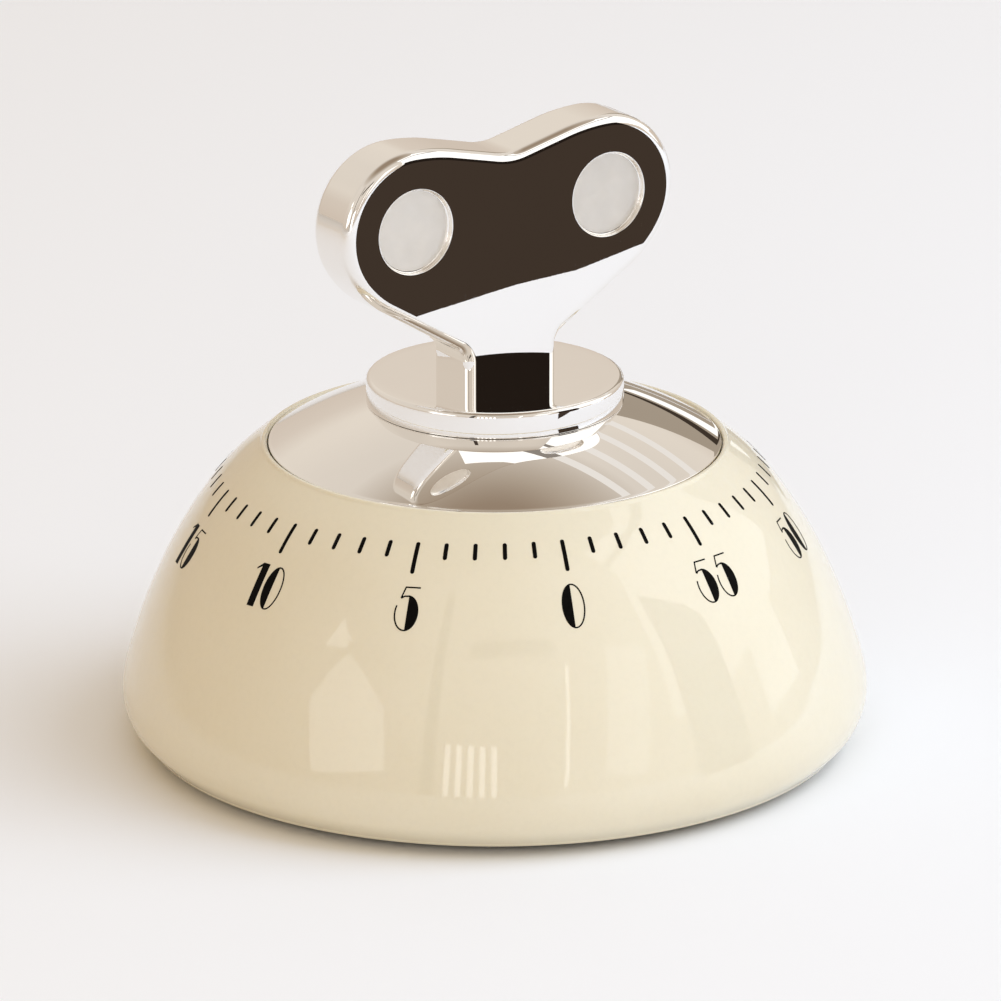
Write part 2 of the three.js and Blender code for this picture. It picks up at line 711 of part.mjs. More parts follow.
function hammerSpring() {
  const { wire, turns } = HAMMER_SPRING;
  const section = new THREE.Shape().absarc(0, 0, wire, 0, 2 * Math.PI, false);
  const options = { steps: turns * 8, extrudePath: new Coil(), curveSegments: 3 };
  const coil = new THREE.ExtrudeGeometry(section, options);
  const lift = HAMMER.bottom + HAMMER.thickness + GAP + wire;
  return coil.translate(HAMMER.pivot[0], HAMMER.pivot[1], lift);
}

// ---- assembly -----------------------------------------------------------------------------------

function keyAssembly() {
  return group('key_assembly', [
    part('winding_key', windingKey(), chrome),
    part('key_flange', keyFlange(), chrome),
    part('key_spindle', keySpindle(), zincSteel),
    part('main_wheel', trainWheel(MAIN, AT.spindle, TURN.main, 6, SPINDLE.radius + GAP), brass),
    part('trip_cam', tripCam(), zincSteel),
  ]);
}

function goingTrain() {
  const bore = ARBOR.shaftRadius + GAP;
  return group('going_train', [
    part('second_wheel', trainWheel(SECOND, AT.second, TURN.second, 5, bore), brass),
    part('second_arbor', pinionArbor(SECOND.pinion, MAIN, AT.second, TURN.second), zincSteel),
    part('third_wheel', trainWheel(THIRD, AT.third, TURN.third, 4, bore), brass),
    part('third_arbor', pinionArbor(THIRD.pinion, SECOND, AT.third, TURN.third), zincSteel),
    part('escape_wheel', escapeWheel(), brass),
    part('escape_arbor', pinionArbor(ESCAPE.pinion, THIRD, AT.escape, TURN.escapePinion), zincSteel),
    part('balance_wheel', balanceWheel(), brass),
    part('balance_staff', shaft().translate(AT.balance.x, AT.balance.y, 0), zincSteel),
    part('pallet_verge', palletVerge(), zincSteel),
  ]);
}

function frameAndBell() {
  const pillarStuds = stations(PILLAR.orbit).map(({ x, y }) => [x, y, PILLAR.tenonRadius]);
  const upperStuds = [
    ...pillarStuds,
    [BELL_POST.x, BELL_POST.y, BELL_POST.studRadius],
    [...HAMMER.pivot, HAMMER.postRadius],
  ];
  const lowerPlate = movementPlate(PLATE.lower, SPINDLE.pivotRadius + GAP, pillarStuds);
  const upperPlate = movementPlate(PLATE.upper, SPINDLE.radius + GAP, upperStuds);
  return group('frame_and_bell', [
    part('lower_movement_plate', lowerPlate, zincSteel),
    part('upper_movement_plate', upperPlate, zincSteel),
    ...stations(PILLAR.orbit).map((at, i) => part(`movement_pillar_${i + 1}`, pillar(at), zincSteel)),
    part('mainspring', mainspring(), blueSteel),
    part('bell', bell(), bellSteel),
    part('bell_post', bellPost(), zincSteel),
    part('bell_nut', bellNut(), zincSteel),
    part('hammer_post', hammerPost(), zincSteel),
  ]);
}

function hammer() {
  return group('hammer', [
    part('hammer_lever', hammerLever(), zincSteel),
    part('hammer_head', hammerHead(), brass),
    part('hammer_spring', hammerSpring(), blueSteel),
  ]);
}

export default group('kitchen_timer', [housing(), keyAssembly(), goingTrain(), frameAndBell(), hammer()]);
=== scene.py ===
"""Looks of a mechanical 60-minute kitchen timer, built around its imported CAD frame.

Lengths named here are millimetres; everything that reaches Blender is metres. The dial's zero mark faces -Y.
"""

import json
import math

import bpy
from mathutils import Matrix, Vector
from mathutils.geometry import delaunay_2d_cdt, tessellate_polygon


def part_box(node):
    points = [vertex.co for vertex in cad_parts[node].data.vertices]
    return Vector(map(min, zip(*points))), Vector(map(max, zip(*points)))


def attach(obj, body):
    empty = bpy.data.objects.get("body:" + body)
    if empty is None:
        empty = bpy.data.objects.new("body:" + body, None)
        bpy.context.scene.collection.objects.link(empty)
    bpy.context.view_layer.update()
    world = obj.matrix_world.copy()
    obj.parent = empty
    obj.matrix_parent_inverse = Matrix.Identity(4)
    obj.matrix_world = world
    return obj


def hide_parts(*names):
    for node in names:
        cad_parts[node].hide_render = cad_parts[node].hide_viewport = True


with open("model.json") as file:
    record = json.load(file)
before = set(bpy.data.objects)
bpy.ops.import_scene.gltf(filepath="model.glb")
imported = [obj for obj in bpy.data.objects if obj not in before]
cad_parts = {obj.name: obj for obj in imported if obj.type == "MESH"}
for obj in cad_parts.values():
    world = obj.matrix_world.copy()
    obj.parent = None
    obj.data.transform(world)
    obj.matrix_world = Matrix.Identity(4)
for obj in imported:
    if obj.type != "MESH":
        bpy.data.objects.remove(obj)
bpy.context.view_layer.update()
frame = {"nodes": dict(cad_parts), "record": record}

MM = 0.001
TAU = 2 * math.pi

# ---- dimensions, which repeat those of the CAD nodes ----------------------------------------------

DOME_RINGS = [
    (35.65, 1), (37.52, 3.2), (38, 6.3), (36.72, 11.2), (34.88, 16),
    (32.43, 21), (29.18, 26), (26.5, 29), (23.4, 31.5),
]
DOME_WALL = 2
LEDGE_TOP, LEDGE_UNDER, LEDGE_RADIUS = 30.2, 29.0, 21.6
OPENING_RADIUS, LIP_RADIUS, LIP_TOP, LIP_EDGE = 23.05, 23.4, 31.5, 0.35
BOSS_RADIUS, BOSS_BOTTOM, BOSS_TOP, SCREW_HOLE = 2.6, 4.1, 17, 1.5

PLATE_RADIUS, PLATE_RIM, PLATE_SPHERE, PLATE_THICKNESS, PLATE_HOLE = 22.7, 31.5, 46, 1, 2.6
PLATE_REACH = 22.95  # where the plate ends, just inside the dome's opening
SEAT_RADIUS = 12.9  # the plate's flat middle, under the flange
FLANGE_RADIUS, FLANGE_EDGE, FLANGE_FOOT, FLANGE_BORE = 13.05, 0.5, 0.15, 2.3
FLANGE_LIFT = 0.02  # how far the flange turns above the plate

KEY_TURN = math.radians(20)
LOBE_X, LOBE_Z, LOBE_RADIUS = 11.65, 56.05, 8.2
KEY_EDGE, KEY_THICKNESS = 1.1, 6.5
# outline of the key's flat face, inside its rounded edge
CROWN_RADIUS, VALLEY_RADIUS, JAW_RADIUS, NECK_FILLET = 20, 8.1, 10.2, 3
DIP_SLOPE, JAW_ANGLE, SHOULDER = math.radians(13.5), math.radians(-30), math.radians(31.6)
NECK_HALF = 5.5
RECESS_RADIUS, RECESS_DEPTH, RECESS_RIM, RECESS_ROOT = 4.3, 0.55, 0.15, 0.18

COVER_RADIUS, COVER_BOTTOM, COVER_TOP, COVER_EDGE = 33.6, 1.2, 3.8, 0.35
FOOT_INNER, FOOT_OUTER, GROOVE_DEPTH, CLEARANCE = 23.2, 27.4, 0.9, 0.3
PILLAR_BOSS_RADIUS, PILLAR_BOSS_TOP = 2.4, 5.1
SCREW_HEAD_RADIUS, SCREW_HEAD_HEIGHT, SCREW_SHANK, SCREW_LENGTH = 2.3, 1.0, 1.2, 9.0

# ---- mesh helpers -----------------------------------------------------------------------------------


def new_object(name, verts, faces, normals=None, materials=(), face_slots=None, sharp=None):
    """A mesh piece from millimetre points. normals are one list of corner normals for each face."""
    mesh = bpy.data.meshes.new(name)
    mesh.from_pydata([tuple(c * MM for c in v) for v in verts], [], faces)
    for m in materials:
        mesh.materials.append(m)
    if face_slots:
        mesh.polygons.foreach_set("material_index", face_slots)
    mesh.update()
    mesh.shade_smooth()
    if sharp is not None:
        mesh.set_sharp_from_angle(angle=math.radians(sharp))
    if normals is not None:
        mesh.normals_split_custom_set([tuple(n) for corners in normals for n in corners])
    obj = bpy.data.objects.new(name, mesh)
    bpy.context.scene.collection.objects.link(obj)
    return obj


def revolve(outline, segments=192, verts=None, faces=None, centre=(0, 0)):
    """Adds a closed (radius, height) outline, drawn counter-clockwise, turned about a vertical axis."""
    verts = [] if verts is None else verts
    faces = [] if faces is None else faces
    rings = []
    for r, z in outline:
        if r < 1e-6:
            rings.append([len(verts)] * segments)
            verts.append((centre[0], centre[1], z))
            continue
        start = len(verts)
        for i in range(segments):
            a = TAU * i / segments
            verts.append((centre[0] + r * math.cos(a), centre[1] + r * math.sin(a), z))
        rings.append(list(range(start, start + segments)))
    for low, high in zip(rings, rings[1:] + rings[:1]):
        if low[0] == low[1] and high[0] == high[1]:
            continue
        for i in range(segments):
            j = (i + 1) % segments
            corners = [low[i], low[j], high[j], high[i]]
            face = [c for k, c in enumerate(corners) if c != corners[k - 1]]
            if len(face) > 2:
                faces.append(face)
    return verts, faces


def turned_rings(outline, segments, verts, faces, centre=(0, 0)):
    """Adds an open (radius, height) outline turned about a vertical axis; its rings of vertex numbers."""
    x, y = centre
    rings = []
    for r, z in outline:
        if r < 1e-6:
            rings.append([len(verts)] * segments)
            verts.append((x, y, z))
            continue
        rings.append(list(range(len(verts), len(verts) + segments)))
        for i in range(segments):
            verts.append((x + r * math.cos(TAU * i / segments), y + r * math.sin(TAU * i / segments), z))
    for low, high in zip(rings, rings[1:]):
        for i in range(segments):
            j = (i + 1) % segments
            corners = [low[i], low[j], high[j], high[i]]
            face = [c for k, c in enumerate(corners) if c != corners[k - 1]]
            if len(face) > 2:
                faces.append(face)
    return rings


def fill_underside(verts, faces, loops):
    """Closes a flat face that looks down: a border with holes in it."""
    flat = [[Vector((verts[v][0], verts[v][1], 0)) for v in loop] for loop in loops]
    index = [v for loop in loops for v in loop]
    for tri in tessellate_polygon(flat):
        face = [index[k] for k in tri]
        a, b, c = (Vector(verts[k]) for k in face)
        if (b - a).cross(c - b).z > 0:
            face.reverse()
        faces.append(face)


def arc(cx, cy, radius, start, end, steps):
    """Points of an arc, angles in degrees."""
    angles = [math.radians(start + (end - start) * i / steps) for i in range(steps + 1)]
    return [(cx + radius * math.cos(a), cy + radius * math.sin(a)) for a in angles]


def catmull(points, t):
    """Point and tangent of the CAD's spline through points, t from 0 to 1."""
    p = (len(points) - 1) * t
    i = min(int(p), len(points) - 2)
    w = p - i
    p0, p1, p2, p3 = (points[max(0, min(len(points) - 1, k))] for k in (i - 1, i, i + 1, i + 2))
    at, along = [], []
    for a, b, c, d in zip(p0, p1, p2, p3):
        v0, v1 = (c - a) / 2, (d - b) / 2
        cube, square = 2 * b - 2 * c + v0 + v1, -3 * b + 3 * c - 2 * v0 - v1
        at.append(cube * w**3 + square * w**2 + v0 * w + b)
        along.append(3 * cube * w**2 + 2 * square * w + v0)
    return at, along


def finish_piece(obj, body, node=None):
    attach(obj, body)
    if node:
        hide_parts(node)
    return obj


def box_mm(node):
    """Low and high corners of a CAD node, in millimetres."""
    return [[c / MM for c in corner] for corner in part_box(node)]


def centre_mm(node):
    low, high = box_mm(node)
    return (low[0] + high[0]) / 2, (low[1] + high[1]) / 2


# ---- materials --------------------------------------------------------------------------------------


class Nodes:
    """A Principled material whose colour, roughness and bump come from procedural noise."""

    def __init__(self, name, **sockets):
        self.material = bpy.data.materials.new(name)
        self.material.use_nodes = True
        self.tree = self.material.node_tree
        self.tree.nodes.clear()
        self.out = self.tree.nodes.new("ShaderNodeOutputMaterial")
        self.shader = self.tree.nodes.new("ShaderNodeBsdfPrincipled")
        self.tree.links.new(self.shader.outputs["BSDF"], self.out.inputs["Surface"])
        self.coords = self.tree.nodes.new("ShaderNodeTexCoord").outputs["Object"]
        self.height = None
        for key, value in sockets.items():
            self.shader.inputs[key.replace("_", " ")].default_value = value

    def link(self, a, b):
        self.tree.links.new(a, b)

    def stretched(self, scale):
        mapping = self.tree.nodes.new("ShaderNodeMapping")
        mapping.inputs["Scale"].default_value = scale
        self.link(self.coords, mapping.inputs["Vector"])
        return mapping.outputs["Vector"]

    def noise(self, size_mm, detail=3, rough=0.5, stretch=(1, 1, 1), distortion=0):
        """Noise whose features are about size_mm across."""
        node = self.tree.nodes.new("ShaderNodeTexNoise")
        node.inputs["Scale"].default_value = 1 / (size_mm * MM)
        node.inputs["Detail"].default_value = detail
        node.inputs["Roughness"].default_value = rough
        node.inputs["Distortion"].default_value = distortion
        self.link(self.stretched(stretch), node.inputs["Vector"])
        return node.outputs["Fac"]

    def ramp(self, factor, *stops):
        """stops are (position, colour or grey)."""
        node = self.tree.nodes.new("ShaderNodeValToRGB")
        elements = node.color_ramp.elements
        while len(elements) < len(stops):
            elements.new(0.5)
        for element, (at, value) in zip(elements, stops):
            element.position = at
            element.color = (*value, 1) if isinstance(value, tuple) else (value, value, value, 1)
        self.link(factor, node.inputs["Fac"])
        return node.outputs["Color"]

    def mix(self, factor, a, b, mode="MIX"):
        node = self.tree.nodes.new("ShaderNodeMix")
        node.data_type, node.blend_type = "RGBA", mode
        sockets = [s for s in node.inputs if s.enabled]
        for socket, value in zip(sockets, (factor, a, b)):
            if isinstance(value, bpy.types.NodeSocket):
                self.link(value, socket)
            elif isinstance(value, tuple):
                socket.default_value = (*value, 1)
            else:
                socket.default_value = value
        return next(s for s in node.outputs if s.enabled)

    def colour(self, value):
        self.link(value, self.shader.inputs["Base Color"])

    def roughness(self, factor, low, high, start=0.3, end=0.7):
        self.link(self.ramp(factor, (start, low), (end, high)), self.shader.inputs["Roughness"])

    def bump(self, factor, depth_um, strength=1.0):
        node = self.tree.nodes.new("ShaderNodeBump")
        node.inputs["Strength"].default_value = strength
        node.inputs["Distance"].default_value = depth_um * 1e-6
        self.link(factor, node.inputs["Height"])
        if self.height is not None:
            self.link(self.height, node.inputs["Normal"])
        self.height = node.outputs["Normal"]
        self.link(self.height, self.shader.inputs["Normal"])


CREAM = (0.815, 0.75, 0.585)
CREAM_DEEP = (0.79, 0.72, 0.55)


def cream_gloss():
    """Injection-moulded glossy cream plastic: slight tone drift, orange peel and rub marks."""
    n = Nodes("cream_gloss", IOR=1.5, Coat_Weight=0.35, Coat_Roughness=0.02, Coat_IOR=1.5, Subsurface_Weight=0.08,
              Subsurface_Scale=0.002)
    n.shader.inputs["Subsurface Radius"].default_value = (1.0, 0.8, 0.5)
    drift = n.noise(22, detail=2)
    tone = n.ramp(drift, (0.3, CREAM_DEEP), (0.7, CREAM))
    specks = n.ramp(n.noise(0.7, detail=4, rough=0.7), (0.35, 0.94), (0.55, 1.0))
    n.colour(n.mix(0.25, tone, specks, "MULTIPLY"))
    n.roughness(n.noise(9, detail=5, rough=0.65), 0.025, 0.06)
    n.bump(n.noise(2.4, detail=2), 0.8)
    n.bump(n.noise(14, detail=1), 8.0)
    return n.material


def chrome(name="chrome", tint=(0.93, 0.915, 0.895), low=0.002, high=0.012, wave=3.0):
    """Decorative chrome plating: mirror finish with faint smears, hairline scratches and a gently wavy surface."""
    n = Nodes(name, Metallic=1.0, IOR=1.5)
    smear = n.noise(7, detail=5, rough=0.6, stretch=(1, 1, 0.6))
    n.colour(n.ramp(smear, (0.3, tuple(c * 0.985 for c in tint)), (0.7, tint)))
    scratches = n.ramp(n.noise(0.35, detail=2, stretch=(1, 0.06, 0.2)), (0.62, 0.0), (0.8, 1.0))
    base = n.ramp(smear, (0.35, low), (0.75, high))
    n.link(n.mix(scratches, base, (0.03, 0.03, 0.03)), n.shader.inputs["Roughness"])
    n.bump(n.noise(11, detail=1), wave)
    n.bump(n.noise(0.5, detail=3), 0.05)
    return n.material


def satin_chrome():
    """Bead-blasted chrome of the key's recess floors."""
    n = Nodes("satin_chrome", Metallic=1.0)
    n.colour(n.ramp(n.noise(2, detail=4), (0.3, (0.91, 0.875, 0.82)), (0.7, (0.95, 0.915, 0.86))))
    n.roughness(n.noise(1.2, detail=5), 0.42, 0.52)
    n.bump(n.noise(0.09, detail=2), 0.5)
    return n.material


def black_ink():
    """Pad-printed black ink: slightly uneven cover, semi-gloss."""
    n = Nodes("black_ink", IOR=1.48, Specular_IOR_Level=0.03)
    cover = n.noise(0.5, detail=5, rough=0.7)
    n.colour(n.ramp(cover, (0.3, (0.002, 0.0018, 0.0016)), (0.75, (0.006, 0.005, 0.0045))))
    n.roughness(n.noise(0.8, detail=4), 0.42, 0.55)
    n.bump(n.noise(0.12, detail=2), 0.8)
    return n.material


def moulded(name, dark, light, low, high, grain_mm=0.25, grain_um=6.0, **sockets):
    """Moulded plastic or rubber with a fine grain and slow colour drift."""
    n = Nodes(name, **sockets)
    n.colour(n.ramp(n.noise(6, detail=5), (0.3, dark), (0.7, light)))
    n.roughness(n.noise(2.5, detail=4), low, high)
    n.bump(n.noise(grain_mm, detail=3), grain_um)
    return n.material


def worked_metal(name, dark, light, low, high, lines=(0.15, (1, 1, 0.08)), depth=1.0):
    """Rolled or turned metal: directional marks, tarnish drift and fine pits."""
    n = Nodes(name, Metallic=1.0)
    drift = n.noise(4, detail=5, rough=0.6)
    marks = n.noise(lines[0], detail=3, stretch=lines[1])
    tone = n.ramp(drift, (0.3, dark), (0.7, light))
    n.colour(n.mix(0.18, tone, n.ramp(marks, (0.3, 0.6), (0.7, 1.0)), "MULTIPLY"))
    n.roughness(marks, low, high)
    n.bump(marks, depth)
    return n.material


MAT = {
    "cream_gloss": cream_gloss(),
    "chrome": chrome(),
    "plate_chrome": chrome("plate_chrome", wave=2.0),
    "satin_chrome": satin_chrome(),
    "black_ink": black_ink(),
    "dark_plastic": moulded("dark_plastic", (0.018, 0.0175, 0.017), (0.026, 0.025, 0.024), 0.42, 0.6, 0.3, 9.0),
    "rubber": moulded("rubber", (0.008, 0.008, 0.008), (0.016, 0.016, 0.016), 0.7, 0.9, 0.5, 12.0),
    "zinc_steel": worked_metal("zinc_steel", (0.42, 0.43, 0.44), (0.56, 0.57, 0.59), 0.24, 0.42),
    "brass": worked_metal("brass", (0.52, 0.34, 0.11), (0.66, 0.46, 0.18), 0.2, 0.36, (0.12, (1, 0.07, 1))),
    "blue_steel": worked_metal("blue_steel", (0.035, 0.045, 0.075), (0.075, 0.09, 0.13), 0.22, 0.4),
    "bell_steel": worked_metal("bell_steel", (0.52, 0.51, 0.48), (0.63, 0.62, 0.59), 0.1, 0.22, (0.2, (0.1, 0.1, 1))),
}

# ---- housing ----------------------------------------------------------------------------------------


def dome_profile(inset, count, start=0.0, end=1.0):
    points = []
    for i in range(count + 1):
        (r, z), (dr, dz) = catmull(DOME_RINGS, start + (end - start) * i / count)
        size = math.hypot(dr, dz)
        points.append((r - inset * dz / size, z + inset * dr / size))
    return points


def build_dome():
    outer = [p for p in dome_profile(0, 110) if 1.3 < p[1] < LIP_TOP - 0.12]
    skirt = arc(35.62, 1.35, 0.35, -90, -45, 4)
    lip = arc(LIP_RADIUS, LIP_TOP - LIP_EDGE, LIP_EDGE, 52, 180, 10)
    inner = [p for p in dome_profile(DOME_WALL, 40) if 1 < p[1] < LEDGE_UNDER - 0.3]
    outline = [
        (inner[0][0], 1), *skirt, *outer, *lip,
        (OPENING_RADIUS, LEDGE_TOP), (LEDGE_RADIUS, LEDGE_TOP), (LEDGE_RADIUS, LEDGE_UNDER),
        (inner[-1][0], LEDGE_UNDER), *reversed(inner),
    ]
    verts, faces = revolve(outline, 256)
    boss = [(SCREW_HOLE, BOSS_BOTTOM), (BOSS_RADIUS, BOSS_BOTTOM), (BOSS_RADIUS, BOSS_TOP), (SCREW_HOLE, BOSS_TOP)]
    for i in (1, 2, 3):
        revolve(boss, 40, verts, faces, centre_mm(f"cover_screw_{i}"))
    obj = new_object("dome", verts, faces, materials=[MAT["cream_gloss"]], sharp=40)
    return finish_piece(obj, "housing", "dome_shell")


def plate_height(r):
    def rise(q):
        return math.sqrt(PLATE_SPHERE**2 - q**2)

    return PLATE_RIM + rise(max(r, SEAT_RADIUS)) - rise(PLATE_RADIUS)


def build_plate():
    edge, steps = 0.16, 40
    last = PLATE_REACH - edge
    radii = [PLATE_HOLE, 6, 9, SEAT_RADIUS - 0.05]
    radii += [SEAT_RADIUS + (last - SEAT_RADIUS) * i / steps for i in range(steps + 1)]
    top = [(r, plate_height(r)) for r in reversed(radii)]
    rim = arc(last, plate_height(last) - edge, edge, -10, 62, 6)
    under = [(r, plate_height(r) - PLATE_THICKNESS) for r in radii] + [(PLATE_REACH, PLATE_RIM - PLATE_THICKNESS)]
    verts, faces = revolve([*under, *rim, *top], 256)
    obj = new_object("mirror_plate", verts, faces, materials=[MAT["plate_chrome"]], sharp=40)
    return finish_piece(obj, "housing", "top_plate")


def build_cover():
    """Moulded cover with a groove for the rubber ring, three screw seats and three bosses inside."""
    seat_radius, seat_top = SCREW_HEAD_RADIUS + CLEARANCE, COVER_BOTTOM + SCREW_HEAD_HEIGHT + CLEARANCE
    groove_out, groove_in = FOOT_OUTER + CLEARANCE, FOOT_INNER - CLEARANCE
    groove_top, soft = COVER_BOTTOM + GROOVE_DEPTH, 0.2
    outline = [
        *arc(COVER_RADIUS - COVER_EDGE, COVER_BOTTOM + COVER_EDGE, COVER_EDGE, -90, 0, 6),
        (COVER_RADIUS, COVER_TOP), (0, COVER_TOP), (0, COVER_BOTTOM + 0.35), (8, COVER_BOTTOM + 0.35),
        *arc(8.2, COVER_BOTTOM + soft, soft, 180, 270, 4),
        *arc(groove_in - soft, COVER_BOTTOM + soft, soft, -90, 0, 4),
        (groove_in, groove_top), (groove_out, groove_top),
        *arc(groove_out + soft, COVER_BOTTOM + soft, soft, 180, 270, 4),
    ]
    verts, faces = [], []
    rings = turned_rings(outline, 192, verts, faces)
    # the flat band outside the groove has the screw seats in it
    border, loops = rings[0], [rings[-1]]
    around = 48
    for i in (1, 2, 3):
        x, y = centre_mm(f"cover_screw_{i}")
        steps = [(seat_radius + 0.15, COVER_BOTTOM), (seat_radius, COVER_BOTTOM + 0.15), (seat_radius, seat_top),
                 (SCREW_HOLE, seat_top), (SCREW_HOLE, COVER_TOP - 0.5)]
        seat = []
        for r, z in steps:
            seat.append(list(range(len(verts), len(verts) + around)))
            for k in range(around):
                verts.append((x + r * math.cos(TAU * k / around), y + r * math.sin(TAU * k / around), z))
        for low, high in zip(seat, seat[1:]):
            for k in range(around):
                m = (k + 1) % around
                faces.append([low[m], low[k], high[k], high[m]])
        faces.append(list(reversed(seat[-1])))
        loops.append(seat[0])
    fill_underside(verts, faces, (border, *loops))
    for i in (1, 2, 3):
        x, y = centre_mm(f"movement_pillar_{i}")
        r, low, high = PILLAR_BOSS_RADIUS, COVER_TOP - 0.4, PILLAR_BOSS_TOP
        revolve([(0, low), (r, low), *arc(r - 0.2, high - 0.2, 0.2, 0, 90, 3), (0, high)], 32, verts, faces, (x, y))
    obj = new_object("bottom_cover", verts, faces, materials=[MAT["dark_plastic"]], sharp=35)
    return finish_piece(obj, "housing", "base_cover")


def build_foot():
    """Rubber ring with a rounded tread and a fine line moulded round its middle."""
    top = COVER_BOTTOM + GROOVE_DEPTH - CLEARANCE
    edge, middle = 0.4, (FOOT_INNER + FOOT_OUTER) / 2
    outline = [
        *arc(FOOT_OUTER - edge, edge, edge, -90, 0, 6), (FOOT_OUTER, top), (FOOT_INNER, top),
        *arc(FOOT_INNER + edge, edge, edge, 180, 270, 6), (middle - 0.25, 0), (middle, 0.2), (middle + 0.25, 0),
    ]
    verts, faces = revolve(outline, 256)
    obj = new_object("rubber_foot", verts, faces, materials=[MAT["rubber"]], sharp=35)
    return finish_piece(obj, "housing", "foot_ring")


def build_screw(number):
    """Cheese-head screw with a rounded head, a cross slot and a threaded shank."""
    x, y = centre_mm(f"cover_screw_{number}")
    bottom, head = COVER_BOTTOM, COVER_BOTTOM + SCREW_HEAD_HEIGHT
    shank = [(SCREW_SHANK, head)]
    pitch, ridge = 0.5, 0.12
    for i in range(int((SCREW_LENGTH - SCREW_HEAD_HEIGHT - 1) / pitch)):
        z = head + 0.5 + i * pitch
        shank += [(SCREW_SHANK - ridge, z), (SCREW_SHANK, z + pitch / 2)]
    tip = bottom + SCREW_LENGTH
    outline = [
        *arc(SCREW_HEAD_RADIUS - 0.25, bottom + 0.25, 0.25, -90, 0, 6), (SCREW_HEAD_RADIUS, head), *shank,
        (SCREW_SHANK * 0.5, tip), (0, tip),
    ]
    verts, faces = [], []
    rings = turned_rings(outline, 64, verts, faces, (x, y))
    # the underside is drawn with its slot: a cross recess cut square into the head
    arm, half, depth = 1.35, 0.3, 0.55
    turn = math.radians(37 * number)
    cross = [(arm, -half), (arm, half), (half, half), (half, arm), (-half, arm), (-half, half),
             (-arm, half), (-arm, -half), (-half, -half), (-half, -arm), (half, -arm), (half, -half)]
    c, s = math.cos(turn), math.sin(turn)
    cross = [(x + u * c - v * s, y + u * s + v * c) for u, v in cross]
    rim = list(range(len(verts), len(verts) + 12))
    verts += [(u, v, bottom) for u, v in cross]
    floor = list(range(len(verts), len(verts) + 12))
    verts += [(u, v, bottom + depth) for u, v in cross]
    for i in range(12):
        j = (i + 1) % 12
        faces.append([rim[j], rim[i], floor[i], floor[j]])
    faces.append(list(reversed(floor)))
    fill_underside(verts, faces, (rings[0], rim))
    obj = new_object(f"screw_{number}", verts, faces, materials=[MAT["zinc_steel"]], sharp=30)
    return finish_piece(obj, "housing", f"cover_screw_{number}")


# ---- key --------------------------------------------------------------------------------------------


def key_outline():
    """Points and outward normals of the key's side, from the foot of its right neck round to the left."""
    lobe = LOBE_RADIUS - KEY_EDGE
    crown_z = LOBE_Z + lobe - CROWN_RADIUS
    jaw_x = LOBE_X + (lobe - JAW_RADIUS) * math.cos(JAW_ANGLE)
    jaw_z = LOBE_Z + (lobe - JAW_RADIUS) * math.sin(JAW_ANGLE)
    quarter = math.pi / 2

    slope_x = LOBE_X - CROWN_RADIUS * math.sin(DIP_SLOPE)
    slope_z = crown_z + CROWN_RADIUS * math.cos(DIP_SLOPE)
    valley_z = (slope_z - (slope_x - VALLEY_RADIUS * math.sin(DIP_SLOPE)) * math.tan(DIP_SLOPE)
                + VALLEY_RADIUS * math.cos(DIP_SLOPE))

    fillet_x = NECK_HALF - KEY_EDGE + NECK_FILLET
    leave_x = jaw_x + JAW_RADIUS * math.sin(SHOULDER)
    leave_z = jaw_z - JAW_RADIUS * math.cos(SHOULDER)
    fillet_z = leave_z - (leave_x - fillet_x) * math.tan(SHOULDER) - NECK_FILLET / math.cos(SHOULDER)
    foot = box_mm("key_flange")[1][2] - 0.05

    half = []  # right half, from the foot to the middle of the dip: (x, z, nx, nz)
    neck_steps = 10
    for i in range(neck_steps):
        half.append((NECK_HALF, foot + (fillet_z - foot) * i / neck_steps, 1, 0))

    def run(cx, cz, radius, start, end, steps, outward, skip=0):
        for i in range(skip, steps + 1):
            a = start + (end - start) * i / steps
            c, s = math.cos(a), math.sin(a)
            r = radius + outward * KEY_EDGE
            half.append((cx + r * c, cz + r * s, outward * c, outward * s))

    run(fillet_x, fillet_z, NECK_FILLET, math.pi, quarter + SHOULDER, 18, -1)
    run(jaw_x, jaw_z, JAW_RADIUS, SHOULDER - quarter, JAW_ANGLE, 20, 1)
    run(LOBE_X, LOBE_Z, lobe, JAW_ANGLE, quarter, 72, 1, skip=1)
    run(LOBE_X, crown_z, CROWN_RADIUS, quarter, quarter + DIP_SLOPE, 16, 1, skip=1)
    run(0, valley_z, VALLEY_RADIUS, DIP_SLOPE - quarter, -quarter, 10, -1)
    mirrored = [(-x, z, -nx, nz) for x, z, nx, nz in reversed(half[:-1])]
    return half + mirrored


